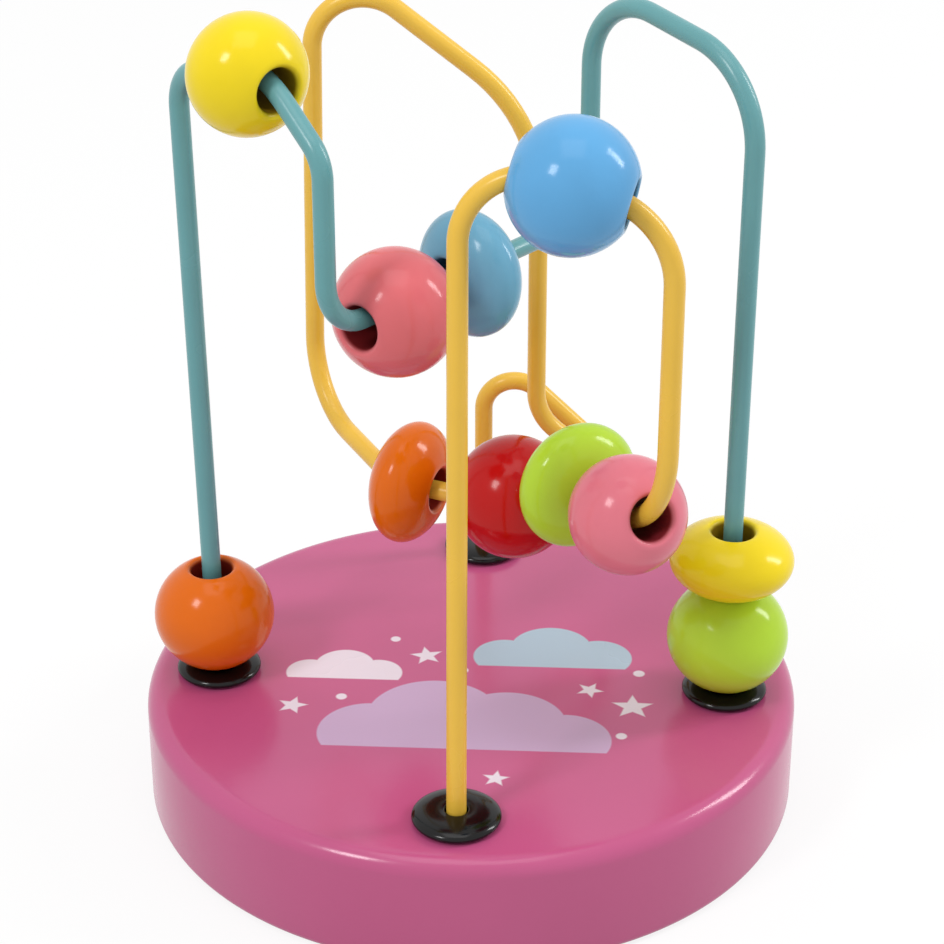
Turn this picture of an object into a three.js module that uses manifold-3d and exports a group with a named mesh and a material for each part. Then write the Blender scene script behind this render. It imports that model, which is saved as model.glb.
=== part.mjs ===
import * as THREE from 'three';
import { mergeVertices } from 'three/addons/utils/BufferGeometryUtils.js';
import Module from 'manifold-3d';

// A small bead maze: a round wooden base, two bent wires standing in ferrules, and loose beads on the wires.
// Millimetres, +Z up. The origin is the centre of the base's underside, X runs from the left foot to the
// right foot and Y from the front foot to the rear foot.

// Base: a turned disc with rounded edges and a blind socket for each wire foot
const BASE_DIAMETER = 90;
const BASE_THICKNESS = 16.2;
const BASE_TOP_ROUNDING = 2.4;
const BASE_BOTTOM_ROUNDING = 1.2;
const SOCKET_FLOOR = 6;
const FOOT_INSET = 9.8;
const LEFT_FOOT_ANGLE = 181.5;
const RIGHT_FOOT_ANGLE = -5;
const FRONT_FOOT_ANGLE = 270;
const REAR_FOOT_ANGLE = 90;

// Clearances: what is left between pieces that seat on each other, and how much wider a bore is than its wire
const FIT_GAP = 0.3;
const BEAD_PLAY = 3;

// Wire: the least straight run between two bends, and how far its legs lean at their top bends, the left and
// right ones outwards and the front one to the rear
const WIRE_DIAMETER = 2.6;
const LEAST_RUN = 1;
const LEFT_LEG_LEAN = 1.4;
const RIGHT_LEG_LEAN = 0.4;
const FRONT_LEG_LEAN = 6.5;

// Front arch of the yellow wire: how far its drop stands to the right of the leg's top bend, and before it
const FRONT_ARCH_WIDTH = 25.3;
const FRONT_ARCH_SPLAY = 2.3;

// Heights of the teal wire's corners above the base's top, from the left foot to the right foot
const TEAL_LEFT_SHOULDER = 86.8;
const TEAL_PEAK = 95.2;
const TEAL_DROP_TOP = 85;
const TEAL_DROP_FOOT = 62.6;
const TEAL_RISE_FOOT = 60.8;
const TEAL_RISE_TOP = 93.6;
const TEAL_RIGHT_SHOULDER = 89.6;

// Heights of the yellow wire's corners above the base's top, from the front foot to the rear foot
const FRONT_LEAN_START = 4;
const YELLOW_FRONT_SHOULDER = 88.9;
const YELLOW_DROP_TOP = 81.8;
const YELLOW_DROP_FOOT = 36.8;
const VALLEY_BROW_HEIGHT = 37.6;
const VALLEY_LOW_HEIGHT = 27.9;
const VALLEY_END_HEIGHT = 28;
const YELLOW_RISE_FOOT = 30.6;
const YELLOW_RISE_TOP = 96.8;
const MIDDLE_DROP_TOP = 73.2;
const MIDDLE_DROP_FOOT = 28.8;
const HAIRPIN_NEAR_HEIGHT = 19.8;
const HAIRPIN_FAR_HEIGHT = 16.8;
const HAIRPIN_TOP = 34.6;

// Radii of the bends at those corners, along the middle of the wire
const TEAL_LEFT_SHOULDER_BEND = 6;
const TEAL_PEAK_BEND = 15;
const TEAL_DROP_TOP_BEND = 5;
const TEAL_DROP_FOOT_BEND = 7;
const TEAL_RISE_FOOT_BEND = 8;
const TEAL_RISE_TOP_BEND = 10;
const TEAL_RIGHT_SHOULDER_BEND = 12;
const FRONT_LEAN_BEND = 20;
const YELLOW_FRONT_SHOULDER_BEND = 8.7;
const YELLOW_DROP_TOP_BEND = 11.5;
const YELLOW_DROP_FOOT_BEND = 14;
const VALLEY_BROW_BEND = 14;
const VALLEY_LOW_BEND = 16;
const VALLEY_END_BEND = 14;
const YELLOW_RISE_FOOT_BEND = 11;
const YELLOW_RISE_TOP_BEND = 7;
const MIDDLE_DROP_TOP_BEND = 23;
const MIDDLE_DROP_FOOT_BEND = 8;
const HAIRPIN_BEND = 4.8;
const HAIRPIN_TOP_BEND = 4.6;

// Ferrule: a flanged bush round each wire foot
const FERRULE_WALL = 1.2;
const FERRULE_BRIM = 3;
const FERRULE_RIM_HEIGHT = 1;
const FERRULE_CROWN_HEIGHT = 1.5;
const FERRULE_SHANK_LENGTH = 8;

// Beads: width across the bore and length along it
const ROUND_DIAMETER = 16.5;
const ROUND_LENGTH = 14.4;
const SMALL_ROUND_DIAMETER = 15.2;
const SMALL_ROUND_LENGTH = 12.8;
const FLAT_DIAMETER = 16.8;
const FLAT_LENGTH = 8.8;
const MOUTH_ROUNDING = 0.7;

// Spaces between neighbouring beads along the wires
const STACK_GAP = 0.3;
const PINK_TO_GREEN_GAP = 2;
const GREEN_TO_RED_GAP = 2.4;
const RED_TO_ORANGE_GAP = 4.8;
const ROSE_TO_BLUE_GAP = 3.2;

// How loose beads lie on their wires, in degrees: a turn about the upright and a lean that lifts one mouth
const LIGHT_BLUE_TURN = -6;
const BLUE_TURN = -10;
const ORANGE_TURN = 10;
const GREEN_LEAN = 10;

// Where beads stand: the number of a wire's bend or straight run, counted from 0, and the share of its length
const YELLOW_BEND = 1;
const YELLOW_ON_BEND = 0.5;
const ROSE_RUN = 4;
const ROSE_ON_RUN = 0.16;
const LIGHT_BLUE_RUN = 2;
const LIGHT_BLUE_ON_RUN = 0.37;
const PINK_BEND = 3;
const PINK_ON_BEND = 0.75;

// Where the teal wire's peak stands between the left leg and the drop
const PEAK_SHARE = 0.52;

// Fineness of the round shapes
const BASE_SEGMENTS = 72;
const FERRULE_SEGMENTS = 24;
const BEAD_SEGMENTS = 20;
const RIM_STEPS = 8;
const MOUTH_STEPS = 2;
const BASE_TOP_STEPS = 5;
const BASE_BOTTOM_STEPS = 3;
const FLANGE_STEPS = 4;
const FLANGE_END_ANGLE = 60;
const WIRE_SIDES = 10;
const BEND_STEP = THREE.MathUtils.degToRad(15);
const WALK_STEP = 0.05;
const SEAT_SAMPLES = 12;
const MERGE_DISTANCE = 1e-4;
const UPRIGHT_LIMIT = 0.1;

// Sizes that follow from the ones above
const FOOT_CIRCLE_RADIUS = BASE_DIAMETER / 2 - FOOT_INSET;
const BEAD_BORE = WIRE_DIAMETER + BEAD_PLAY;
const FERRULE_BORE = WIRE_DIAMETER + 2 * FIT_GAP;
const SHANK_DIAMETER = FERRULE_BORE + 2 * FERRULE_WALL;
const FLANGE_DIAMETER = SHANK_DIAMETER + 2 * FERRULE_BRIM;
const SOCKET_DIAMETER = SHANK_DIAMETER + 2 * FIT_GAP;
const FLANGE_SEAT = BASE_THICKNESS + FIT_GAP;
const FERRULE_TOP = FLANGE_SEAT + FERRULE_CROWN_HEIGHT;
const WIRE_END = SOCKET_FLOOR + FIT_GAP;
const ROUND = { diameter: ROUND_DIAMETER, length: ROUND_LENGTH };
const SMALL_ROUND = { diameter: SMALL_ROUND_DIAMETER, length: SMALL_ROUND_LENGTH };
const FLAT = { diameter: FLAT_DIAMETER, length: FLAT_LENGTH };

const UP = new THREE.Vector3(0, 0, 1);
const wasm = await Module();
wasm.setup();

// A wire bent from straight runs and round bends. Each corner has a point and the radius of its bend, which
// is tightened where neighbouring bends leave less than the least run between them.
class BentWire extends THREE.Curve {
  constructor(corners) {
    super();
    this.runs = [];
    this.bends = [];
    this.stations = [0];
    this.total = 0;
    const sides = corners.slice(1).map((next, i) => next.point.clone().sub(corners[i].point));
    const headings = sides.map((side) => side.clone().normalize());
    const turns = headings.map((heading, i) => (i > 0 ? headings[i - 1].angleTo(heading) : 0));
    const trims = turns.map((turn, i) => corners[i].bend * Math.tan(turn / 2));
    const room = sides.map((side, i) => (side.length() - LEAST_RUN) / (trims[i] + (trims[i + 1] ?? 0)));
    let start = corners[0].point;
    for (let i = 1; i < corners.length - 1; i += 1) {
      const share = Math.min(1, room[i - 1], room[i]);
      const trim = trims[i] * share;
      const entry = corners[i].point.clone().addScaledVector(headings[i - 1], -trim);
      this.addRun(start, entry);
      this.addBend(entry, headings[i - 1], headings[i], corners[i].bend * share, turns[i]);
      start = corners[i].point.clone().addScaledVector(headings[i], trim);
    }
    this.addRun(start, corners.at(-1).point);
  }

  addRun(start, end) {
    const length = start.distanceTo(end);
    const tangent = end.clone().sub(start).normalize();
    const frame = (way) => ({ point: start.clone().addScaledVector(tangent, way), tangent: tangent.clone() });
    this.runs.push({ from: this.total, length, frame });
    this.total += length;
    this.stations.push(this.total);
  }

  addBend(entry, incoming, outgoing, radius, turn) {
    const inward = outgoing.clone().addScaledVector(incoming, -Math.cos(turn)).normalize();
    const centre = entry.clone().addScaledVector(inward, radius);
    const frame = (way) => {
      const angle = way / radius;
      const point = centre.clone().addScaledVector(inward, -radius * Math.cos(angle));
      point.addScaledVector(incoming, radius * Math.sin(angle));
      const tangent = incoming.clone().multiplyScalar(Math.cos(angle));
      tangent.addScaledVector(inward, Math.sin(angle));
      return { point, tangent };
    };
    const length = radius * turn;
    const steps = Math.ceil(turn / BEND_STEP);
    this.bends.push({ from: this.total, length, frame, centre });
    for (let i = 1; i <= steps; i += 1) {
      this.stations.push(this.total + (length * i) / steps);
    }
    this.total += length;
  }

  // Point and tangent at a length along the wire
  at(way) {
    const pieces = [...this.runs, ...this.bends].sort((a, b) => a.from - b.from);
    let piece = pieces[0];
    for (const next of pieces) {
      if (next.from <= way) piece = next;
    }
    return piece.frame(way - piece.from);
  }

  station(share) {
    return this.stations[Math.round(share * (this.stations.length - 1))];
  }

  getPointAt(share, target = new THREE.Vector3()) {
    return target.copy(this.at(this.station(share)).point);
  }

  getTangentAt(share, target = new THREE.Vector3()) {
    return target.copy(this.at(this.station(share)).tangent);
  }

  onRun(index, share) {
    return this.runs[index].from + this.runs[index].length * share;
  }

  onBend(index, share) {
    return this.bends[index].from + this.bends[index].length * share;
  }

  // Station where a point moving along the wire is first a straight distance away from another station
  walk(from, direction, distance) {
    const origin = this.at(from).point;
    let way = from;
    while (this.at(way).point.distanceTo(origin) < distance) {
      way += direction * WALK_STEP;
    }
    return way;
  }
}

function onFootCircle(degrees) {
  const angle = THREE.MathUtils.degToRad(degrees);
  return [FOOT_CIRCLE_RADIUS * Math.cos(angle), FOOT_CIRCLE_RADIUS * Math.sin(angle)];
}

// Corners of the wires. A place is a point of the plan, and a height is measured from the base's top.
const LEFT_FOOT = onFootCircle(LEFT_FOOT_ANGLE);
const LEFT_TOP = [LEFT_FOOT[0] - LEFT_LEG_LEAN, LEFT_FOOT[1]];
const TEAL_DROP = [-16.2, -23.5];
const TEAL_RISE = [14.8, 19.8];
const RIGHT_FOOT = onFootCircle(RIGHT_FOOT_ANGLE);
const RIGHT_TOP = [RIGHT_FOOT[0] + RIGHT_LEG_LEAN, RIGHT_FOOT[1]];
const FRONT_FOOT = onFootCircle(FRONT_FOOT_ANGLE);
const FRONT_TOP = [FRONT_FOOT[0], FRONT_FOOT[1] + FRONT_LEG_LEAN];
const YELLOW_DROP = [FRONT_TOP[0] + FRONT_ARCH_WIDTH, FRONT_TOP[1] - FRONT_ARCH_SPLAY];
const VALLEY_BROW = [13.4, -9.9];
const VALLEY_LOW = [5.4, -2.2];
const VALLEY_END = [-10.4, 3.8];
const YELLOW_RISE = [-23.4, 23.5];
const YELLOW_RISE_HEAD = [-22.2, 23.5];
const MIDDLE_DROP = [8, 23.5];
const HAIRPIN_NEAR = [18.3, 24.2];
const HAIRPIN_FAR = [18.3, FOOT_CIRCLE_RADIUS];
const REAR_FOOT = onFootCircle(REAR_FOOT_ANGLE);

function foot(place) {
  return { point: new THREE.Vector3(place[0], place[1], WIRE_END), bend: 0 };
}

function corner(place, height, bend) {
  return { point: new THREE.Vector3(place[0], place[1], BASE_THICKNESS + height), bend };
}

function between(from, to, share) {
  return [from[0] + (to[0] - from[0]) * share, from[1] + (to[1] - from[1]) * share];
}

const tealWire = new BentWire([
  foot(LEFT_FOOT),
  corner(LEFT_TOP, TEAL_LEFT_SHOULDER, TEAL_LEFT_SHOULDER_BEND),
  corner(between(LEFT_TOP, TEAL_DROP, PEAK_SHARE), TEAL_PEAK, TEAL_PEAK_BEND),
  corner(TEAL_DROP, TEAL_DROP_TOP, TEAL_DROP_TOP_BEND),
  corner(TEAL_DROP, TEAL_DROP_FOOT, TEAL_DROP_FOOT_BEND),
  corner(TEAL_RISE, TEAL_RISE_FOOT, TEAL_RISE_FOOT_BEND),
  corner(TEAL_RISE, TEAL_RISE_TOP, TEAL_RISE_TOP_BEND),
  corner(RIGHT_TOP, TEAL_RIGHT_SHOULDER, TEAL_RIGHT_SHOULDER_BEND),
  foot(RIGHT_FOOT),
]);

const yellowWire = new BentWire([
  foot(FRONT_FOOT),
  corner(FRONT_FOOT, FRONT_LEAN_START, FRONT_LEAN_BEND),
  corner(FRONT_TOP, YELLOW_FRONT_SHOULDER, YELLOW_FRONT_SHOULDER_BEND),
  corner(YELLOW_DROP, YELLOW_DROP_TOP, YELLOW_DROP_TOP_BEND),
  corner(YELLOW_DROP, YELLOW_DROP_FOOT, YELLOW_DROP_FOOT_BEND),
  corner(VALLEY_BROW, VALLEY_BROW_HEIGHT, VALLEY_BROW_BEND),
  corner(VALLEY_LOW, VALLEY_LOW_HEIGHT, VALLEY_LOW_BEND),
  corner(VALLEY_END, VALLEY_END_HEIGHT, VALLEY_END_BEND),
  corner(YELLOW_RISE, YELLOW_RISE_FOOT, YELLOW_RISE_FOOT_BEND),
  corner(YELLOW_RISE_HEAD, YELLOW_RISE_TOP, YELLOW_RISE_TOP_BEND),
  corner(MIDDLE_DROP, MIDDLE_DROP_TOP, MIDDLE_DROP_TOP_BEND),
  corner(MIDDLE_DROP, MIDDLE_DROP_FOOT, MIDDLE_DROP_FOOT_BEND),
  corner(HAIRPIN_NEAR, HAIRPIN_NEAR_HEIGHT, HAIRPIN_BEND),
  corner(HAIRPIN_FAR, HAIRPIN_FAR_HEIGHT, HAIRPIN_BEND),
  corner(REAR_FOOT, HAIRPIN_TOP, HAIRPIN_TOP_BEND),
  foot(REAR_FOOT),
]);

// Profile points of a rounding, from one angle to another about a centre
function rounding(centreX, centreY, radius, fromDegrees, toDegrees, steps) {
  const points = [];
  for (let i = 0; i <= steps; i += 1) {
    const angle = THREE.MathUtils.degToRad(fromDegrees + ((toDegrees - fromDegrees) * i) / steps);
    points.push(new THREE.Vector2(centreX + radius * Math.cos(angle), centreY + radius * Math.sin(angle)));
  }
  return points;
}

// A turned solid about Z from a profile of radius and height, run upwards on its outside
function turned(profile, segments) {
  return new THREE.LatheGeometry(profile, segments).rotateX(Math.PI / 2);
}

function solidOf(geometry) {
  const bare = geometry.clone();
  bare.deleteAttribute('normal');
  bare.deleteAttribute('uv');
  const merged = mergeVertices(bare, MERGE_DISTANCE);
  const corners = merged.index.array;
  const triangles = [];
  for (let i = 0; i < corners.length; i += 3) {
    const [a, b, c] = corners.slice(i, i + 3);
    if (a !== b && b !== c && c !== a) triangles.push(a, b, c);
  }
  const vertProperties = new Float32Array(merged.attributes.position.array);
  const triVerts = new Uint32Array(triangles);
  return new wasm.Manifold(new wasm.Mesh({ numProp: 3, vertProperties, triVerts }));
}

function geometryOf(solid) {
  const mesh = solid.getMesh();
  const geometry = new THREE.BufferGeometry();
  geometry.setAttribute('position', new THREE.BufferAttribute(mesh.vertProperties, 3));
  geometry.setIndex(new THREE.BufferAttribute(mesh.triVerts, 1));
  return geometry;
}

function baseGeometry() {
  const radius = BASE_DIAMETER / 2;
  const low = BASE_BOTTOM_ROUNDING;
  const high = BASE_TOP_ROUNDING;
  const disc = turned([
    new THREE.Vector2(0, 0),
    ...rounding(radius - low, low, low, -90, 0, BASE_BOTTOM_STEPS),
    ...rounding(radius - high, BASE_THICKNESS - high, high, 0, 90, BASE_TOP_STEPS),
    new THREE.Vector2(0, BASE_THICKNESS),
  ], BASE_SEGMENTS);
  const depth = BASE_THICKNESS - SOCKET_FLOOR;
  const socket = SOCKET_DIAMETER / 2;
  let solid = solidOf(disc);
  for (const [x, y] of [LEFT_FOOT, RIGHT_FOOT, FRONT_FOOT, REAR_FOOT]) {
    const plug = new THREE.CylinderGeometry(socket, socket, 2 * depth, FERRULE_SEGMENTS);
    plug.rotateX(Math.PI / 2).translate(x, y, BASE_THICKNESS);
    solid = solid.subtract(solidOf(plug));
  }
  return geometryOf(solid);
}

function ferruleGeometry() {
  const bore = FERRULE_BORE / 2;
  const shank = SHANK_DIAMETER / 2;
  const rim = FLANGE_DIAMETER / 2;
  const soft = FERRULE_RIM_HEIGHT / 2;
  return turned([
    new THREE.Vector2(bore, -FERRULE_SHANK_LENGTH),
    new THREE.Vector2(shank, -FERRULE_SHANK_LENGTH),
    new THREE.Vector2(shank, 0),
    ...rounding(rim - soft, soft, soft, -90, FLANGE_END_ANGLE, FLANGE_STEPS),
    new THREE.Vector2((rim + shank) / 2, (FERRULE_RIM_HEIGHT + FERRULE_CROWN_HEIGHT) / 2),
    new THREE.Vector2(shank, FERRULE_CROWN_HEIGHT),
    new THREE.Vector2(bore, FERRULE_CROWN_HEIGHT),
    new THREE.Vector2(bore, -FERRULE_SHANK_LENGTH),
  ], FERRULE_SEGMENTS);
}

// A bead is an ellipse turned about its bore, cut off where the rounded mouths of the bore begin
function beadGeometry(size) {
  const rim = size.diameter / 2;
  const half = size.length / 2;
  const bore = BEAD_BORE / 2;
  const mouth = bore + MOUTH_ROUNDING;
  const bulge = half / Math.sqrt(1 - (mouth / rim) ** 2);
  const reach = Math.acos(mouth / rim);
  const outside = [];
  for (let i = 0; i <= RIM_STEPS; i += 1) {
    const angle = reach * ((2 * i) / RIM_STEPS - 1);
    outside.push(new THREE.Vector2(rim * Math.cos(angle), bulge * Math.sin(angle)));
  }
  const edge = half - MOUTH_ROUNDING;
  return turned([
    ...outside,
    ...rounding(mouth, edge, MOUTH_ROUNDING, 90, 180, MOUTH_STEPS).slice(1),
    ...rounding(mouth, -edge, MOUTH_ROUNDING, 180, 270, MOUTH_STEPS).slice(0, -1),
    outside[0].clone(),
  ], BEAD_SEGMENTS);
}

function wireGeometry(wire) {
  const section = new THREE.Shape(rounding(0, 0, WIRE_DIAMETER / 2, 0, 360, WIRE_SIDES).slice(0, -1));
  return new THREE.ExtrudeGeometry(section, { steps: wire.stations.length - 1, extrudePath: wire });
}

function piece(name, geometry, color, roughness, metalness) {
  const mesh = new THREE.Mesh(geometry, new THREE.MeshStandardMaterial({ color, roughness, metalness }));
  mesh.name = name;
  return mesh;
}

// Turns and places a bead on its wire: the bore follows the wire's chord, and the bead hangs from the wire
function seat(mesh, wire, station, length, turn, lean) {
  const points = [];
  for (let i = 0; i <= SEAT_SAMPLES; i += 1) {
    points.push(wire.at(station + length * (i / SEAT_SAMPLES - 0.5)).point);
  }
  const chord = new THREE.Line3(points[0], points.at(-1));
  const axis = chord.delta(new THREE.Vector3()).normalize();
  const bow = new THREE.Vector3();
  for (const point of points) {
    const offset = point.clone().sub(chord.closestPointToPoint(point, false, new THREE.Vector3()));
    if (offset.length() > bow.length()) bow.copy(offset);
  }
  const across = axis.clone().cross(UP).normalize();
  const bore = axis.clone().applyAxisAngle(UP, THREE.MathUtils.degToRad(turn));
  bore.applyAxisAngle(across, THREE.MathUtils.degToRad(lean));
  const ends = [station - length / 2, station + length / 2].map((way) => wire.at(way).tangent.dot(axis));
  const slant = (WIRE_DIAMETER / 2) * (1 / Math.min(...ends) - 1);
  const skew = (length / 2) * Math.tan(axis.angleTo(bore));
  const spare = BEAD_PLAY / 2 - FIT_GAP - bow.length() / 2 - slant - skew;
  const down = UP.clone().addScaledVector(axis, -axis.z).multiplyScalar(-1);
  const hang = down.length() > UPRIGHT_LIMIT ? spare : 0;
  chord.getCenter(mesh.position);
  mesh.position.addScaledVector(bow, 0.5).addScaledVector(down.normalize(), hang);
  mesh.quaternion.setFromUnitVectors(UP, bore);
}

const maze = new THREE.Group();

maze.add(piece('base', baseGeometry(), '#c4628f', 0.3, 0));

const FERRULES = { left: LEFT_FOOT, right: RIGHT_FOOT, front: FRONT_FOOT, rear: REAR_FOOT };
for (const [side, [x, y]] of Object.entries(FERRULES)) {
  const ferrule = piece(`${side}_ferrule`, ferruleGeometry(), '#141414', 0.25, 0);
  ferrule.position.set(x, y, FLANGE_SEAT);
  maze.add(ferrule);
}

maze.add(piece('teal_wire', wireGeometry(tealWire), '#649b9b', 0.35, 0));
maze.add(piece('yellow_wire', wireGeometry(yellowWire), '#e8b946', 0.35, 0));

function bead(name, color, size, wire, station, { turn = 0, lean = 0 } = {}) {
  const mesh = piece(name, beadGeometry(size), color, 0.22, 0);
  seat(mesh, wire, station, size.length, turn, lean);
  maze.add(mesh);
}

// Centre distance of two beads that touch
function touching(one, other) {
  return (one.length + other.length) / 2;
}

// Beads of the teal wire, from the left foot to the right foot
const aboveFerrule = FERRULE_TOP + FIT_GAP - WIRE_END;
const orangeRoundAt = aboveFerrule + ROUND.length / 2;
bead('orange_round_bead', '#d7690f', ROUND, tealWire, orangeRoundAt);

const yellowRoundAt = tealWire.onBend(YELLOW_BEND, YELLOW_ON_BEND);
bead('yellow_round_bead', '#f0d728', SMALL_ROUND, tealWire, yellowRoundAt);

const roseAt = tealWire.onRun(ROSE_RUN, ROSE_ON_RUN);
bead('rose_round_bead', '#dc6973', ROUND, tealWire, roseAt);

const blueAt = roseAt + touching(ROUND, FLAT) + ROSE_TO_BLUE_GAP;
bead('blue_flat_bead', '#5a96b9', FLAT, tealWire, blueAt, { turn: BLUE_TURN });

const greenRoundAt = tealWire.total - aboveFerrule - ROUND.length / 2;
bead('green_round_bead', '#96c832', ROUND, tealWire, greenRoundAt);

const yellowFlatAt = greenRoundAt - touching(ROUND, FLAT) - STACK_GAP;
bead('yellow_flat_bead', '#f0d728', FLAT, tealWire, yellowFlatAt);

// Beads of the yellow wire, from the front foot to the rear foot
const lightBlueAt = yellowWire.onRun(LIGHT_BLUE_RUN, LIGHT_BLUE_ON_RUN);
bead('light_blue_round_bead', '#5fa0d2', ROUND, yellowWire, lightBlueAt, { turn: LIGHT_BLUE_TURN });

const pinkAt = yellowWire.onBend(PINK_BEND, PINK_ON_BEND);
const greenFlatAt = yellowWire.walk(pinkAt, 1, touching(SMALL_ROUND, FLAT) + PINK_TO_GREEN_GAP);
const redAt = yellowWire.walk(greenFlatAt, 1, touching(FLAT, ROUND) + GREEN_TO_RED_GAP);
const orangeFlatAt = yellowWire.walk(redAt, 1, touching(ROUND, FLAT) + RED_TO_ORANGE_GAP);
bead('pink_round_bead', '#dc788c', SMALL_ROUND, yellowWire, pinkAt);
bead('green_flat_bead', '#96c832', FLAT, yellowWire, greenFlatAt, { lean: GREEN_LEAN });
bead('red_round_bead', '#be1914', ROUND, yellowWire, redAt);
bead('orange_flat_bead', '#d7690f', FLAT, yellowWire, orangeFlatAt, { turn: ORANGE_TURN });

export default maze;
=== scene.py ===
import math

import bmesh
import bpy
import numpy as np
from mathutils import Matrix, Vector


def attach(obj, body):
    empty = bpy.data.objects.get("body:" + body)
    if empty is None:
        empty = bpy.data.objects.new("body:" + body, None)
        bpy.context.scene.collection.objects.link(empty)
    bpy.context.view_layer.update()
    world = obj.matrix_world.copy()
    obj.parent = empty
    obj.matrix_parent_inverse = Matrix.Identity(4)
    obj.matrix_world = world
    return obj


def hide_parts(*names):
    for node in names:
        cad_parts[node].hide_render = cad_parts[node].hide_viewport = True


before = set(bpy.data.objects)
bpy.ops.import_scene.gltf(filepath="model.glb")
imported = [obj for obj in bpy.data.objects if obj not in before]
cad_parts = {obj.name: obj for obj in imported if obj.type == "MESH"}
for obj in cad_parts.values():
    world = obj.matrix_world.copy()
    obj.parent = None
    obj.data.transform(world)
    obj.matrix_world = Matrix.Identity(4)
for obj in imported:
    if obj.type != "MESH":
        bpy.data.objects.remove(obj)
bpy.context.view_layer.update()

# Lengths are in millimetres where nothing else is said, and made metres where a shape or pattern is placed
MM = 0.001

# Base: a turned disc with a blind socket for each wire foot. A land is a flat ring beside a rounding.
BASE_RADIUS = 45.0
BASE_THICKNESS = 16.2
BASE_TOP_ROUNDING = 2.4
BASE_BOTTOM_ROUNDING = 1.2
BASE_LAND = 0.5
SOCKET_FLOOR = 6.0
SOCKET_RADIUS = 3.1

# Wires, and the height at which they end in the sockets
WIRE_RADIUS = 1.3
WIRE_END = 6.3

# Ferrule: a flanged bush round each wire foot. Its heights are measured from the seat of its flange, and
# the seat's own from the underside of the base.
FERRULE_BORE_RADIUS = 1.5
FERRULE_SHANK_RADIUS = 2.8
FERRULE_RIM_RADIUS = 5.8
FERRULE_SHANK_LENGTH = 8.0
FERRULE_RIM_HEIGHT = 1.0
FERRULE_CROWN_HEIGHT = 1.5
FERRULE_LIP = 0.25
FERRULE_SEAT = 16.5

# Beads: width across the bore and length along it
ROUND_BEAD = (16.5, 14.4)
SMALL_ROUND_BEAD = (15.2, 12.8)
FLAT_BEAD = (16.8, 8.8)
BEAD_BORE_RADIUS = 2.8
MOUTH_ROUNDING = 0.7

# Fineness of the turned and bent shapes, the angle from which an edge is sharp, and the distance in metres
# within which double points are merged
BASE_STEPS = 256
FERRULE_STEPS = 72
BEAD_STEPS = 80
BEAD_RIM_STEPS = 28
MOUTH_STEPS = 7
EDGE_STEPS = 10
LIP_STEPS = 4
WIRE_SIDES = 32
BEND_STEP = math.radians(4)
SHARP_EDGE = math.radians(38)
MERGE_DISTANCE = 1e-6

# Feet of the wires on a circle round the middle, and how far the legs lean from their feet
FOOT_CIRCLE = 35.2
LEFT_LEAN = 1.4
RIGHT_LEAN = 0.4
FRONT_LEAN = 6.5


def foot_at(degrees):
    angle = math.radians(degrees)
    return FOOT_CIRCLE * math.cos(angle), FOOT_CIRCLE * math.sin(angle)


def between(first, second, share):
    return tuple(one + (other - one) * share for one, other in zip(first, second))


LEFT_FOOT = foot_at(181.5)
RIGHT_FOOT = foot_at(-5.0)
FRONT_FOOT = foot_at(270.0)
REAR_FOOT = foot_at(90.0)
FEET = {"left": LEFT_FOOT, "right": RIGHT_FOOT, "front": FRONT_FOOT, "rear": REAR_FOOT}

# Places where the wires bend, seen from above. The teal peak is a share of the way from the left shoulder to
# the teal drop.
PEAK_SHARE = 0.52
LEFT_SHOULDER = (LEFT_FOOT[0] - LEFT_LEAN, LEFT_FOOT[1])
RIGHT_SHOULDER = (RIGHT_FOOT[0] + RIGHT_LEAN, RIGHT_FOOT[1])
FRONT_SHOULDER = (FRONT_FOOT[0], FRONT_FOOT[1] + FRONT_LEAN)
TEAL_DROP = (-16.2, -23.5)
TEAL_PEAK = between(LEFT_SHOULDER, TEAL_DROP, PEAK_SHARE)
TEAL_RISE = (14.8, 19.8)
YELLOW_DROP = (25.3, -31.0)
VALLEY_BROW = (13.4, -9.9)
VALLEY_LOW = (5.4, -2.2)
VALLEY_END = (-10.4, 3.8)
YELLOW_RISE_FOOT = (-23.4, 23.5)
YELLOW_RISE_TOP = (-22.2, 23.5)
MIDDLE_DROP = (8.0, 23.5)
HAIRPIN_NEAR = (18.3, 24.2)
HAIRPIN_FAR = (18.3, FOOT_CIRCLE)

# Corners of the wires: place from above, height above the base's top and radius of the bend
TEAL_CORNERS = [
    (*LEFT_SHOULDER, 86.8, 6.0),
    (*TEAL_PEAK, 95.2, 15.0),
    (*TEAL_DROP, 85.0, 5.0),
    (*TEAL_DROP, 62.6, 7.0),
    (*TEAL_RISE, 60.8, 8.0),
    (*TEAL_RISE, 93.6, 10.0),
    (*RIGHT_SHOULDER, 89.6, 12.0),
]
YELLOW_CORNERS = [
    (*FRONT_FOOT, 4.0, 20.0),
    (*FRONT_SHOULDER, 88.9, 8.7),
    (*YELLOW_DROP, 81.8, 11.5),
    (*YELLOW_DROP, 36.8, 14.0),
    (*VALLEY_BROW, 37.6, 14.0),
    (*VALLEY_LOW, 27.9, 16.0),
    (*VALLEY_END, 28.0, 14.0),
    (*YELLOW_RISE_FOOT, 30.6, 11.0),
    (*YELLOW_RISE_TOP, 96.8, 7.0),
    (*MIDDLE_DROP, 73.2, 23.0),
    (*MIDDLE_DROP, 28.8, 8.0),
    (*HAIRPIN_NEAR, 19.8, 4.8),
    (*HAIRPIN_FAR, 16.8, 4.8),
    (*REAR_FOOT, 34.6, 4.6),
]

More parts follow.
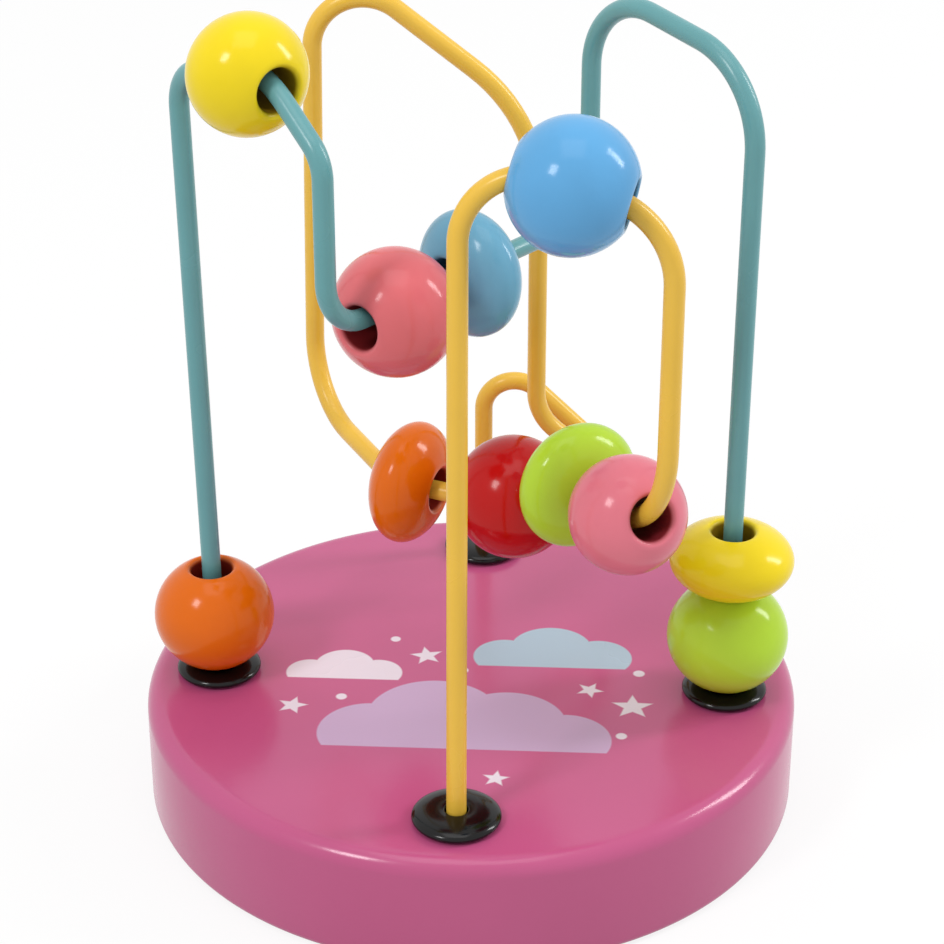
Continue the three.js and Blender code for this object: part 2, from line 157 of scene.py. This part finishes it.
# Beads: the solid that a bead stands for, its paint and its size
BEADS = [
    ("orange_round_bead", "orange", ROUND_BEAD),
    ("yellow_round_bead", "yellow", SMALL_ROUND_BEAD),
    ("rose_round_bead", "rose", ROUND_BEAD),
    ("blue_flat_bead", "blue", FLAT_BEAD),
    ("green_round_bead", "green", ROUND_BEAD),
    ("yellow_flat_bead", "yellow", FLAT_BEAD),
    ("light_blue_round_bead", "light_blue", ROUND_BEAD),
    ("pink_round_bead", "pink", SMALL_ROUND_BEAD),
    ("green_flat_bead", "green", FLAT_BEAD),
    ("red_round_bead", "red", ROUND_BEAD),
    ("orange_flat_bead", "orange", FLAT_BEAD),
]

# Colours in sRGB from 0 to 255. Two colours are the dark and the light side of a clouding.
PAINT_COLORS = {
    "orange": (228, 107, 8),
    "yellow": (246, 218, 26),
    "rose": (226, 111, 117),
    "blue": (110, 172, 202),
    "green": (185, 222, 58),
    "light_blue": (98, 170, 222),
    "pink": (229, 123, 139),
    "red": (192, 16, 14),
}
TEAL_COATING = (104, 164, 168)
YELLOW_COATING = (244, 196, 70)
BLACK_PLASTIC = [(6, 6, 7), (14, 13, 14)]
PINK_LACQUER = [(188, 77, 126), (200, 91, 139)]
LILAC_INK = (199, 168, 203)
BLUE_INK = (168, 192, 208)
WHITE_INK = (232, 221, 232)

# Finishes: roughness, what clouding, flow marks or ink add to it, and the specular level
PAINT_ROUGHNESS = 0.11
PAINT_CLOUDING = 0.1
PAINT_SPECULAR = 0.23
COATING_ROUGHNESS = 0.2
COATING_CLOUDING = 0.12
COATING_SPECULAR = 0.4
PLASTIC_ROUGHNESS = 0.1
PLASTIC_FLOW = 0.1
PLASTIC_SPECULAR = 0.3
LACQUER_ROUGHNESS = 0.17
LACQUER_CLOUDING = 0.06
LACQUER_INK = 0.08
LACQUER_SPECULAR = 0.46

# Bore of a bead: the attribute that is 1 on its wall, how steeply that fades over the mouths, the share of
# the squared paint colour that is painted on the wall as shade, and what the bore adds to the roughness
BORE_ATTRIBUTE = "bore"
BORE_FADE = 2.5
BORE_SHADE = 0.32
BORE_DULLNESS = 0.5

# Grain under the paint of the beads, drawn out along Z, and the shares of orange peel and grain in the
# relief
GRAIN_STRETCH = (1.0, 1.0, 0.12)
PEEL_SHARE = 0.6
GRAIN_SHARE = 0.4

# Print on the base's top: clouds with their floor and puffs of x, y and radius, stars of x, y, reach, waist
# and turn in degrees, and dots of x, y and radius
LILAC_CLOUD = (-19.0, [(-13.0, -15.5, 7.0), (-4.5, -11.5, 9.2), (5.5, -13.0, 8.2), (13.5, -16.2, 6.2)])
BLUE_CLOUD = (2.0, [(4.5, 4.6, 4.4), (11.0, 6.8, 5.8), (17.8, 4.8, 4.6)])
WHITE_CLOUD = (-2.4, [(-22.6, -0.9, 3.2), (-17.8, 0.9, 4.2), (-13.0, -0.7, 3.4)])
STARS = [
    (22.5, -7.5, 2.9, 1.25, 18.0),
    (16.6, -3.6, 1.9, 0.85, -8.0),
    (-6.5, 4.2, 2.3, 1.0, 30.0),
    (-24.0, -9.5, 2.1, 0.95, 6.0),
    (4.6, -25.6, 1.8, 0.8, 12.0),
]
DOTS = [(-1.2, 0.6, 0.8), (23.4, 1.0, 0.8), (-17.5, -7.0, 0.75), (21.0, -14.8, 0.75), (-11.2, 8.4, 0.7)]
STAR_POINTS = 5

# How soft the edge of the print is, how far below the top it may reach, how well it covers the lacquer, and
# the shares of the lacquer's orange peel and the ink's edge in the relief
PRINT_SOFTNESS = 0.22
PRINT_REACH = 0.05
INK_COVER = 0.93
LACQUER_PEEL_SHARE = 0.8
INK_EDGE_SHARE = 0.6

# Camera at the photograph's angle, for its square frame: lens, sensor, near limit in metres, place and aim
CAMERA_LENS = 101.07
CAMERA_SENSOR = 36.0
CAMERA_NEAR = 0.01
CAMERA_PLACE = (16.7, -313.1, 214.7)
CAMERA_AIM = (0.21, -1.59, 48.80)

# Floor a hair under the base, which shows white but throws back less light, and the white room's light. The
# colours are linear.
WHITE = (1.0, 1.0, 1.0, 1.0)
FLOOR_HEIGHT = -0.2
FLOOR_RADIUS = 6000.0
FLOOR_SIDES = 64
FLOOR_WHITENESS = 0.85
FLOOR_SEEN = (0.95, 0.95, 0.95, 1.0)
FLOOR_BOUNCE = (0.6, 0.6, 0.6, 1.0)
ROOM_LIGHT = 0.66

# Softboxes: name, place, width and height in metres and power in watts, and the point, also in metres, that
# they are turned to
SOFTBOXES = [
    ("left_softbox", (-0.44, -0.48, 0.66), 0.18, 0.21, 2.15),
    ("right_softbox", (0.66, 0.18, 0.46), 0.12, 0.36, 2.1),
    ("top_softbox", (0.0, -0.10, 0.90), 0.50, 0.50, 1.2),
]
LIT_POINT = Vector((0.0, 0.0, 0.05))


class Socket:
    """An output of a material's or the world's nodes. Operators on it add Math nodes."""

    def __init__(self, tree, output=None):
        self.tree = tree
        self.output = output

    def node(self, kind, settings, inputs, output=0):
        made = self.tree.nodes.new(kind)
        for name, setting in settings.items():
            setattr(made, name, setting)
        for key, value in inputs.items():
            if isinstance(value, Socket):
                self.tree.links.new(value.output, made.inputs[key])
            else:
                made.inputs[key].default_value = value
        return Socket(self.tree, made.outputs[output])

    def math(self, operation, first, second=0.0, clamp=False):
        settings = {"operation": operation, "use_clamp": clamp}
        return self.node("ShaderNodeMath", settings, {0: first, 1: second})

    def __add__(self, other):
        return self.math("ADD", self, other)

    def __radd__(self, other):
        return self.math("ADD", other, self)

    def __sub__(self, other):
        return self.math("SUBTRACT", self, other)

    def __rsub__(self, other):
        return self.math("SUBTRACT", other, self)

    def __mul__(self, other):
        return self.math("MULTIPLY", self, other)

    def __rmul__(self, other):
        return self.math("MULTIPLY", other, self)

    def __truediv__(self, other):
        return self.math("DIVIDE", self, other)

    def clamped(self):
        return self.math("ADD", self, 0.0, clamp=True)

    def lower(self, other):
        return self.math("MINIMUM", self, other)

    def higher(self, other):
        return self.math("MAXIMUM", self, other)


def tint(red, green, blue, share=1.0):
    """Linear colour of an sRGB colour from 0 to 255, made darker or lighter by a share"""
    linear = []
    for channel in (red, green, blue):
        value = channel / 255
        low = value / 12.92
        high = ((value + 0.055) / 1.055) ** 2.4
        linear.append(min(1.0, share * (low if value <= 0.04045 else high)))
    return (*linear, 1.0)


def painted_bore_shade(color):
    """Painted shade for the wall of a bore: a darker, deeper copy of the paint colour, standing in for the
    shade inside it
    """
    return tuple(BORE_SHADE * channel ** 2 for channel in tint(*color)[:3]) + (1.0,)


def mixed(factor, first, second):
    inputs = {0: factor, 6: first, 7: second}
    return factor.node("ShaderNodeMix", {"data_type": "RGBA"}, inputs, output=2)


def noise(place, scale, detail):
    return place.node("ShaderNodeTexNoise", {}, {"Vector": place, "Scale": scale, "Detail": detail})


def bump(height, strength, depth):
    inputs = {"Height": height, "Strength": strength, "Distance": depth * MM}
    return height.node("ShaderNodeBump", {}, inputs)


def feed(shader, name, value):
    value.tree.links.new(value.output, shader.inputs[name])


def new_material(name):
    """A material, its shader and the place on the piece that its patterns are laid on"""
    material = bpy.data.materials.new(name)
    material.use_nodes = True
    tree = material.node_tree
    place = Socket(tree).node("ShaderNodeTexCoord", {}, {}, output="Object")
    return material, tree.nodes["Principled BSDF"], place


def dress(shader, color, roughness, relief, specular):
    """Feeds a shader what changes over the surface, and sets its specular level"""
    feed(shader, "Base Color", color)
    feed(shader, "Roughness", roughness)
    feed(shader, "Normal", relief)
    shader.inputs["Specular IOR Level"].default_value = specular


def gloss_paint(name, color):
    """Sprayed gloss paint on a bead: slight clouding, orange peel, faint grain, and painted shade on the
    wall of the bore, which is also duller
    """
    material, shader, place = new_material(name)
    bored = place.node("ShaderNodeAttribute", {"attribute_name": BORE_ATTRIBUTE}, {}, output="Fac")
    clouding = noise(place, scale=130.0, detail=3.0)
    peel = noise(place, scale=900.0, detail=2.0)
    along_grain = place.node("ShaderNodeMapping", {}, {"Vector": place, "Scale": GRAIN_STRETCH})
    grain = noise(along_grain, scale=700.0, detail=4.0)
    coat = mixed(clouding, tint(*color, share=0.92), tint(*color, share=1.08))
    roughness = PAINT_ROUGHNESS + PAINT_CLOUDING * clouding + BORE_DULLNESS * bored
    relief = bump(peel * PEEL_SHARE + grain * GRAIN_SHARE, strength=0.06, depth=0.4)
    # The bore's wall gets painted shade: a darker, deeper copy of the paint colour
    dress(shader, mixed(bored, coat, painted_bore_shade(color)), roughness, relief, PAINT_SPECULAR)
    return material


def wire_coating(name, color):
    """Smooth satin coating baked on the steel wire"""
    material, shader, place = new_material(name)
    clouding = noise(place, scale=90.0, detail=3.0)
    speckle = noise(place, scale=1400.0, detail=2.0)
    coat = mixed(clouding, tint(*color, share=0.9), tint(*color, share=1.05))
    roughness = COATING_ROUGHNESS + COATING_CLOUDING * clouding
    dress(shader, coat, roughness, bump(speckle, strength=0.05, depth=0.3), COATING_SPECULAR)
    return material


def ferrule_plastic(name):
    """Black gloss moulding with faint flow marks"""
    material, shader, place = new_material(name)
    flow = noise(place, scale=320.0, detail=3.0)
    color = mixed(flow, *[tint(*shade) for shade in BLACK_PLASTIC])
    roughness = PLASTIC_ROUGHNESS + PLASTIC_FLOW * flow
    dress(shader, color, roughness, bump(flow, strength=0.04, depth=0.3), PLASTIC_SPECULAR)
    return material


def edge_of(distance, softness):
    """1 inside a distance field and 0 outside, over a soft border"""
    return (0.5 - distance / softness).clamped()


def disc_field(flat, x, y, radius):
    """Distance to a disc"""
    inputs = {0: flat, 1: (x * MM, y * MM, 0.0)}
    away = flat.node("ShaderNodeVectorMath", {"operation": "DISTANCE"}, inputs, output="Value")
    return away - radius * MM


def cloud_field(flat, floor_height, puffs):
    """Distance to a cloud: round puffs joined together and cut off straight along their floor"""
    field = None
    for puff in puffs:
        disc = disc_field(flat, *puff)
        field = disc if field is None else field.lower(disc)
    height = flat.node("ShaderNodeSeparateXYZ", {}, {"Vector": flat}, output="Y")
    return field.higher(floor_height * MM - height)


def star_field(flat, x, y, reach, waist, turn):
    """Distance to a star, folded onto the half of one of its points"""
    settings = {"vector_type": "TEXTURE"}
    rotation = (0.0, 0.0, math.radians(turn))
    inputs = {"Vector": flat, "Location": (x * MM, y * MM, 0.0), "Rotation": rotation}
    local = flat.node("ShaderNodeMapping", settings, inputs)
    parts = [flat.node("ShaderNodeSeparateXYZ", {}, {"Vector": local}, output=axis) for axis in "XY"]
    angle = flat.math("ARCTAN2", parts[1], parts[0])
    radius = flat.node("ShaderNodeVectorMath", {"operation": "LENGTH"}, {0: local}, output="Value")
    half_point = math.pi / STAR_POINTS
    folded = flat.math("PINGPONG", angle, half_point)
    along = radius * flat.math("COSINE", folded)
    across = radius * flat.math("SINE", folded)
    inner = Vector((waist * math.cos(half_point), waist * math.sin(half_point)))
    edge = inner - Vector((reach, 0.0))
    outward = Vector((edge.y, -edge.x)).normalized()
    return (along - reach * MM) * outward.x + across * outward.y


def small_print_field(flat):
    """Distance to the stars and dots"""
    fields = [star_field(flat, *star) for star in STARS] + [disc_field(flat, *dot) for dot in DOTS]
    nearest = fields[0]
    for field in fields[1:]:
        nearest = nearest.lower(field)
    return nearest


def printed_lacquer(name):
    """Pink gloss lacquer on the base, with a screen print of clouds and stars on its top"""
    material, shader, place = new_material(name)
    clouding = noise(place, scale=26.0, detail=4.0)
    peel = noise(place, scale=620.0, detail=2.0)
    flat = place.node("ShaderNodeVectorMath", {"operation": "MULTIPLY"}, {0: place, 1: (1.0, 1.0, 0.0)})
    height = place.node("ShaderNodeSeparateXYZ", {}, {"Vector": place}, output="Z")
    on_top = place.math("GREATER_THAN", height, (BASE_THICKNESS - PRINT_REACH) * MM)
    cover = INK_COVER + (1.0 - INK_COVER) * clouding
    color = mixed(clouding, *[tint(*shade) for shade in PINK_LACQUER])
    layers = [
        (cloud_field(flat, *LILAC_CLOUD), LILAC_INK),
        (cloud_field(flat, *BLUE_CLOUD), BLUE_INK),
        (cloud_field(flat, *WHITE_CLOUD), WHITE_INK),
        (small_print_field(flat), WHITE_INK),
    ]
    ink = None
    for field, shade in layers:
        mask = edge_of(field, PRINT_SOFTNESS * MM) * on_top
        color = mixed(mask * cover, color, tint(*shade))
        ink = mask if ink is None else ink.higher(mask)
    roughness = LACQUER_ROUGHNESS + LACQUER_CLOUDING * clouding + LACQUER_INK * ink
    relief = bump(peel * LACQUER_PEEL_SHARE + ink * INK_EDGE_SHARE, strength=0.05, depth=0.4)
    dress(shader, color, roughness, relief, LACQUER_SPECULAR)
    return material


def object_of(name, shape):
    mesh = bpy.data.meshes.new(name)
    shape.to_mesh(mesh)
    shape.free()
    made = bpy.data.objects.new(name, mesh)
    bpy.context.scene.collection.objects.link(made)
    return made


def finished(name, shape, material, body, node):
    """Makes a piece of a bmesh, rides it on its body and lets it stand for its solid"""
    piece = object_of(name, shape)
    piece.data.shade_smooth()
    piece.data.set_sharp_from_angle(angle=SHARP_EDGE)
    piece.data.materials.append(material)
    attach(piece, body)
    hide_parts(node)


def merge_doubles(shape):
    bmesh.ops.remove_doubles(shape, verts=shape.verts, dist=MERGE_DISTANCE)


def rounding(x, y, radius, start, end, steps):
    """Points of a profile round a centre, from one angle to another in degrees"""
    points = []
    for i in range(steps + 1):
        angle = math.radians(start + (end - start) * i / steps)
        points.append((x + radius * math.cos(angle), y + radius * math.sin(angle)))
    return points


def turned(profile, steps, closed):
    """A bmesh turned about Z from profile points of radius and height in millimetres"""
    shape = bmesh.new()
    points = [shape.verts.new((radius * MM, 0.0, height * MM)) for radius, height in profile]
    edges = [shape.edges.new(pair) for pair in zip(points, points[1:])]
    if closed:
        edges.append(shape.edges.new((points[-1], points[0])))
    bmesh.ops.spin(shape, geom=points + edges, cent=(0, 0, 0), axis=(0, 0, 1), angle=math.tau,
                   steps=steps, use_merge=True, use_normal_flip=False, use_duplicate=False)
    merge_doubles(shape)
    bmesh.ops.recalc_face_normals(shape, faces=shape.faces)
    return shape


def disc_shape():
    """The base without its sockets"""
    low = BASE_BOTTOM_ROUNDING
    high = BASE_TOP_ROUNDING
    profile = [(0.0, 0.0), (BASE_RADIUS - low - BASE_LAND, 0.0)]
    profile += rounding(BASE_RADIUS - low, low, low, -90, 0, EDGE_STEPS)
    profile += rounding(BASE_RADIUS - high, BASE_THICKNESS - high, high, 0, 90, EDGE_STEPS)
    profile += [(BASE_RADIUS - high - BASE_LAND, BASE_THICKNESS), (0.0, BASE_THICKNESS)]
    return turned(profile, BASE_STEPS, closed=False)


def socket_plugs():
    """A plug for each socket, as long above the base's top as the socket is deep"""
    length = 2 * (BASE_THICKNESS - SOCKET_FLOOR) * MM
    radius = SOCKET_RADIUS * MM
    plugs = bmesh.new()
    for x, y in FEET.values():
        middle = Matrix.Translation(Vector((x, y, BASE_THICKNESS)) * MM)
        bmesh.ops.create_cone(plugs, cap_ends=True, segments=FERRULE_STEPS, radius1=radius,
                              radius2=radius, depth=length, matrix=middle)
    return plugs


def base_shape():
    """The turned disc, with a blind socket cut for each wire foot"""
    disc = object_of("disc", disc_shape())
    plugs = object_of("plugs", socket_plugs())
    cut = disc.modifiers.new("sockets", "BOOLEAN")
    cut.operation = "DIFFERENCE"
    cut.solver = "EXACT"
    cut.object = plugs
    bpy.context.view_layer.update()
    shape = bmesh.new()
    shape.from_object(disc, bpy.context.evaluated_depsgraph_get())
    merge_doubles(shape)
    bpy.data.objects.remove(disc)
    bpy.data.objects.remove(plugs)
    return shape


def ferrule_shape(x, y):
    """A flanged bush: a rim that rounds over into a domed crown, and a small lip round the wire"""
    bore = FERRULE_BORE_RADIUS
    shank = FERRULE_SHANK_RADIUS
    rim = FERRULE_RIM_RADIUS
    lip = FERRULE_LIP
    soft = FERRULE_RIM_HEIGHT / 2
    dome = FERRULE_CROWN_HEIGHT - soft
    profile = [(bore, -FERRULE_SHANK_LENGTH), (shank, -FERRULE_SHANK_LENGTH), (shank, 0.0)]
    profile += rounding(rim - soft, soft, soft, -90, 0, EDGE_STEPS)
    for i in range(1, EDGE_STEPS + 1):
        angle = math.pi / 2 * i / EDGE_STEPS
        profile.append((shank + (rim - shank) * math.cos(angle), soft + dome * math.sin(angle)))
    profile += rounding(bore + lip, FERRULE_CROWN_HEIGHT - lip, lip, 90, 180, LIP_STEPS)
    shape = turned(profile, FERRULE_STEPS, closed=True)
    bmesh.ops.translate(shape, verts=shape.verts, vec=Vector((x, y, FERRULE_SEAT)) * MM)
    return shape


def aligned(place, direction):
    """Matrix that moves the origin to a place and turns Z to a direction"""
    return Matrix.Translation(place) @ direction.to_track_quat("Z", "Y").to_matrix().to_4x4()


def extruded(shape, edges, way):
    """Draws a ring of edges out along a way, and gives the new ring"""
    made = bmesh.ops.extrude_edge_only(shape, edges=edges)["geom"]
    points = [item for item in made if isinstance(item, bmesh.types.BMVert)]
    bmesh.ops.translate(shape, verts=points, vec=way)
    ends = set(points)
    return [item for item in made if isinstance(item, bmesh.types.BMEdge) and set(item.verts) <= ends]


def wire_shape(first_foot, corners, last_foot):
    """A round wire drawn out along its straight runs and spun round its bends"""
    points = [Vector((*first_foot, WIRE_END)) * MM]
    points += [Vector((x, y, height + BASE_THICKNESS)) * MM for x, y, height, _ in corners]
    points.append(Vector((*last_foot, WIRE_END)) * MM)
    bends = [bend * MM for *_, bend in corners]
    shape = bmesh.new()
    start = points[0]
    heading = (points[1] - start).normalized()
    bmesh.ops.create_circle(shape, cap_ends=False, segments=WIRE_SIDES, radius=WIRE_RADIUS * MM,
                            matrix=aligned(start, heading))
    ring = list(shape.edges)
    for corner, following, bend in zip(points[1:], points[2:], bends):
        leaving = (following - corner).normalized()
        turn = heading.angle(leaving)
        trim = bend * math.tan(turn / 2)
        entry = corner - heading * trim
        ring = extruded(shape, ring, entry - start)
        inward = (leaving - heading * math.cos(turn)).normalized()
        axis = heading.cross(leaving).normalized()
        spun = bmesh.ops.spin(shape, geom=ring, cent=entry + inward * bend, axis=axis, angle=turn,
                              steps=math.ceil(turn / BEND_STEP), use_merge=False,
                              use_normal_flip=False, use_duplicate=False)
        ring = [item for item in spun["geom_last"] if isinstance(item, bmesh.types.BMEdge)]
        start = corner + leaving * trim
        heading = leaving
    extruded(shape, ring, points[-1] - start)
    merge_doubles(shape)
    open_edges = [edge for edge in shape.edges if edge.is_boundary]
    bmesh.ops.holes_fill(shape, edges=open_edges, sides=0)
    bmesh.ops.recalc_face_normals(shape, faces=shape.faces)
    return shape


def seat_of(node):
    """Matrix that seats a bead where its solid is: its middle there, and Z along its bore"""
    corners = np.array([vertex.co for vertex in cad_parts[node].data.vertices])
    middle = corners.mean(axis=0)
    spread, directions = np.linalg.eigh(np.cov((corners - middle).T))
    # A bead spreads alike in the two directions across its bore, so the odd one is along it
    odd = 0 if spread[1] - spread[0] > spread[2] - spread[1] else 2
    bore = Vector(directions[:, odd]).normalized()
    along = (corners - middle) @ np.array(bore)
    return aligned(Vector(middle) + bore * float(along.min() + along.max()) / 2, bore)


def bead_shape(node, size):
    """A bead turned from an ellipse, with a bore whose mouths are rounded over"""
    width, length = size
    rim = width / 2
    half = length / 2
    mouth = BEAD_BORE_RADIUS + MOUTH_ROUNDING
    bulge = half / math.sqrt(1 - (mouth / rim) ** 2)
    reach = math.acos(mouth / rim)
    profile = []
    for i in range(BEAD_RIM_STEPS + 1):
        angle = reach * (2 * i / BEAD_RIM_STEPS - 1)
        profile.append((rim * math.cos(angle), bulge * math.sin(angle)))
    edge = half - MOUTH_ROUNDING
    profile += rounding(mouth, edge, MOUTH_ROUNDING, 90, 180, MOUTH_STEPS)[1:]
    profile += rounding(mouth, -edge, MOUTH_ROUNDING, 180, 270, MOUTH_STEPS)[:-1]
    shape = turned(profile, BEAD_STEPS, closed=True)
    bored = shape.verts.layers.float.new(BORE_ATTRIBUTE)
    for vertex in shape.verts:
        depth = (mouth * MM - vertex.co.xy.length) / (MOUTH_ROUNDING * MM)
        vertex[bored] = min(1.0, max(0.0, depth)) ** BORE_FADE
    bmesh.ops.transform(shape, matrix=seat_of(node), verts=shape.verts)
    return shape


def aim(item, target):
    """Turns a camera or lamp to a point"""
    item.rotation_euler = (target - item.location).to_track_quat("-Z", "Y").to_euler()


def set_camera():
    data = bpy.data.cameras.new("camera")
    data.lens = CAMERA_LENS
    data.sensor_width = CAMERA_SENSOR
    data.clip_start = CAMERA_NEAR
    camera = bpy.data.objects.new("camera", data)
    camera.location = Vector(CAMERA_PLACE) * MM
    aim(camera, Vector(CAMERA_AIM) * MM)
    bpy.context.scene.collection.objects.link(camera)
    bpy.context.scene.camera = camera


def background_ray(maker):
    """1 for rays that look at the background from the camera, in a reflection or through something clear"""
    looks = maker.node("ShaderNodeLightPath", {}, {}, output="Is Camera Ray")
    for other in ("Is Glossy Ray", "Is Transmission Ray"):
        looks = looks.higher(maker.node("ShaderNodeLightPath", {}, {}, output=other))
    return looks


def floor_white():
    """White that keeps a faint shadow"""
    material = bpy.data.materials.new("floor_white")
    material.use_nodes = True
    nodes = material.node_tree.nodes
    nodes.remove(nodes["Principled BSDF"])
    maker = Socket(material.node_tree)
    looked_at = background_ray(maker)
    shade = mixed(looked_at, FLOOR_BOUNCE, FLOOR_SEEN)
    paper = maker.node("ShaderNodeBsdfDiffuse", {}, {"Color": shade})
    glow = maker.node("ShaderNodeEmission", {}, {"Color": WHITE, "Strength": 1.0})
    inputs = {0: looked_at * FLOOR_WHITENESS, 1: paper, 2: glow}
    feed(nodes["Material Output"], "Surface", maker.node("ShaderNodeMixShader", {}, inputs))
    return material


def lay_floor():
    shape = bmesh.new()
    bmesh.ops.create_circle(shape, cap_ends=True, segments=FLOOR_SIDES, radius=FLOOR_RADIUS * MM)
    bmesh.ops.translate(shape, verts=shape.verts, vec=(0.0, 0.0, FLOOR_HEIGHT * MM))
    floor = object_of("floor", shape)
    floor.data.materials.append(floor_white())


def light_room():
    """A white room that shows white and lights the maze with less"""
    world = bpy.data.worlds.new("room")
    world.use_nodes = True
    bpy.context.scene.world = world
    room = world.node_tree.nodes["Background"]
    room.inputs["Color"].default_value = WHITE
    feed(room, "Strength", ROOM_LIGHT + (1.0 - ROOM_LIGHT) * background_ray(Socket(world.node_tree)))


def hang_softboxes():
    for name, place, width, height, power in SOFTBOXES:
        light = bpy.data.lights.new(name, "AREA")
        light.shape = "RECTANGLE"
        light.size = width
        light.size_y = height
        light.energy = power
        lamp = bpy.data.objects.new(name, light)
        lamp.location = place
        aim(lamp, LIT_POINT)
        bpy.context.scene.collection.objects.link(lamp)


set_camera()

lacquer = printed_lacquer("printed_lacquer")
finished("base_disc", base_shape(), lacquer, "frame", "base")

black = ferrule_plastic("black_plastic")
for side, foot in FEET.items():
    bush = ferrule_shape(*foot)
    finished(f"{side}_foot_bush", bush, black, "frame", f"{side}_ferrule")

teal = wire_coating("teal_coating", TEAL_COATING)
teal_wire = wire_shape(LEFT_FOOT, TEAL_CORNERS, RIGHT_FOOT)
finished("teal_bent_wire", teal_wire, teal, "frame", "teal_wire")

yellow = wire_coating("yellow_coating", YELLOW_COATING)
yellow_wire = wire_shape(FRONT_FOOT, YELLOW_CORNERS, REAR_FOOT)
finished("yellow_bent_wire", yellow_wire, yellow, "frame", "yellow_wire")

paints = {name: gloss_paint(f"{name}_paint", color) for name, color in PAINT_COLORS.items()}
for node, paint, size in BEADS:
    finished(f"{node}_turned", bead_shape(node, size), paints[paint], node, node)

lay_floor()
light_room()
hang_softboxes()
bpy.context.scene.view_settings.view_transform = "Standard"
